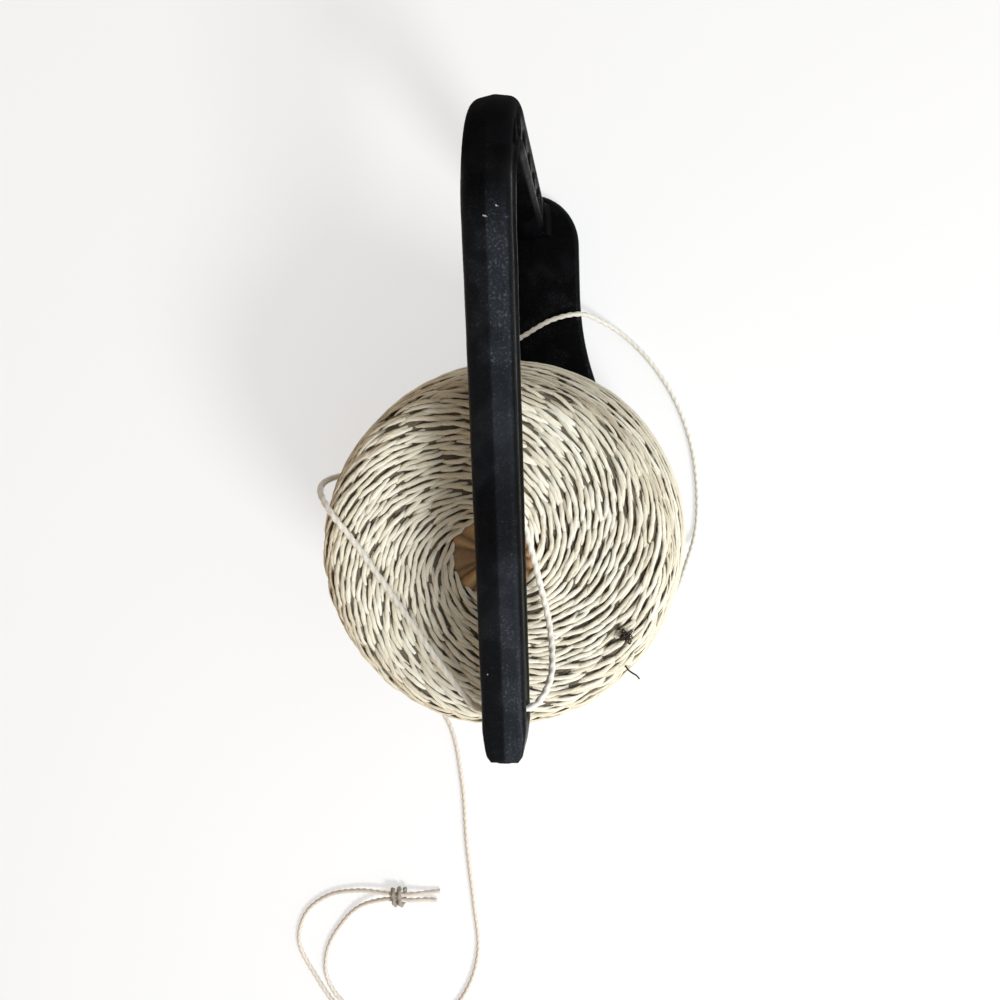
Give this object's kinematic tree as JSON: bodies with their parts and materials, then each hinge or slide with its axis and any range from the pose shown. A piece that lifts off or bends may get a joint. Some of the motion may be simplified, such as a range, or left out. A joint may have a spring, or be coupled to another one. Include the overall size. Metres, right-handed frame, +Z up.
{
  "type": "string holder",
  "caption": "Counter-top string holder: an iron foot plate and overhead arm with a string eye, and a package of twine on a paper cone that turns below the arm.",
  "frame": {"origin": "centre of the foot plate's round seat, on its underside", "axes": "+Z up, +Y from the seat to the post, +X to the right when the free end of the arm points to the viewer"},
  "size_m": [0.1749, 0.3572, 0.12],
  "materials": {
    "black_iron": "rough black japanned casting",
    "screw_steel": "plain slotted steel",
    "peg_iron": "turned, dark",
    "kraft_paper": "matt brown kraft paper",
    "twine_inner": "matt twine, inner layers",
    "twine": "matt pale twine"
  },
  "bodies": {
    "stand": {"base_plate": "black_iron", "arm": "black_iron", "arm_screws": "screw_steel", "centre_peg": "peg_iron", "string_run": "twine", "string_spare": "twine", "string_knot": "twine"},
    "package": {"paper_cone": "kraft_paper", "string_core": "twine_inner", "string_winding": "twine"}
  },
  "joints": [
    {"name": "package_turn", "type": "hinge", "parent": "stand", "child": "package", "pos_m": [-0.005, 0, 0], "axis": [0, 0, 1], "continuous": true}
  ]
}
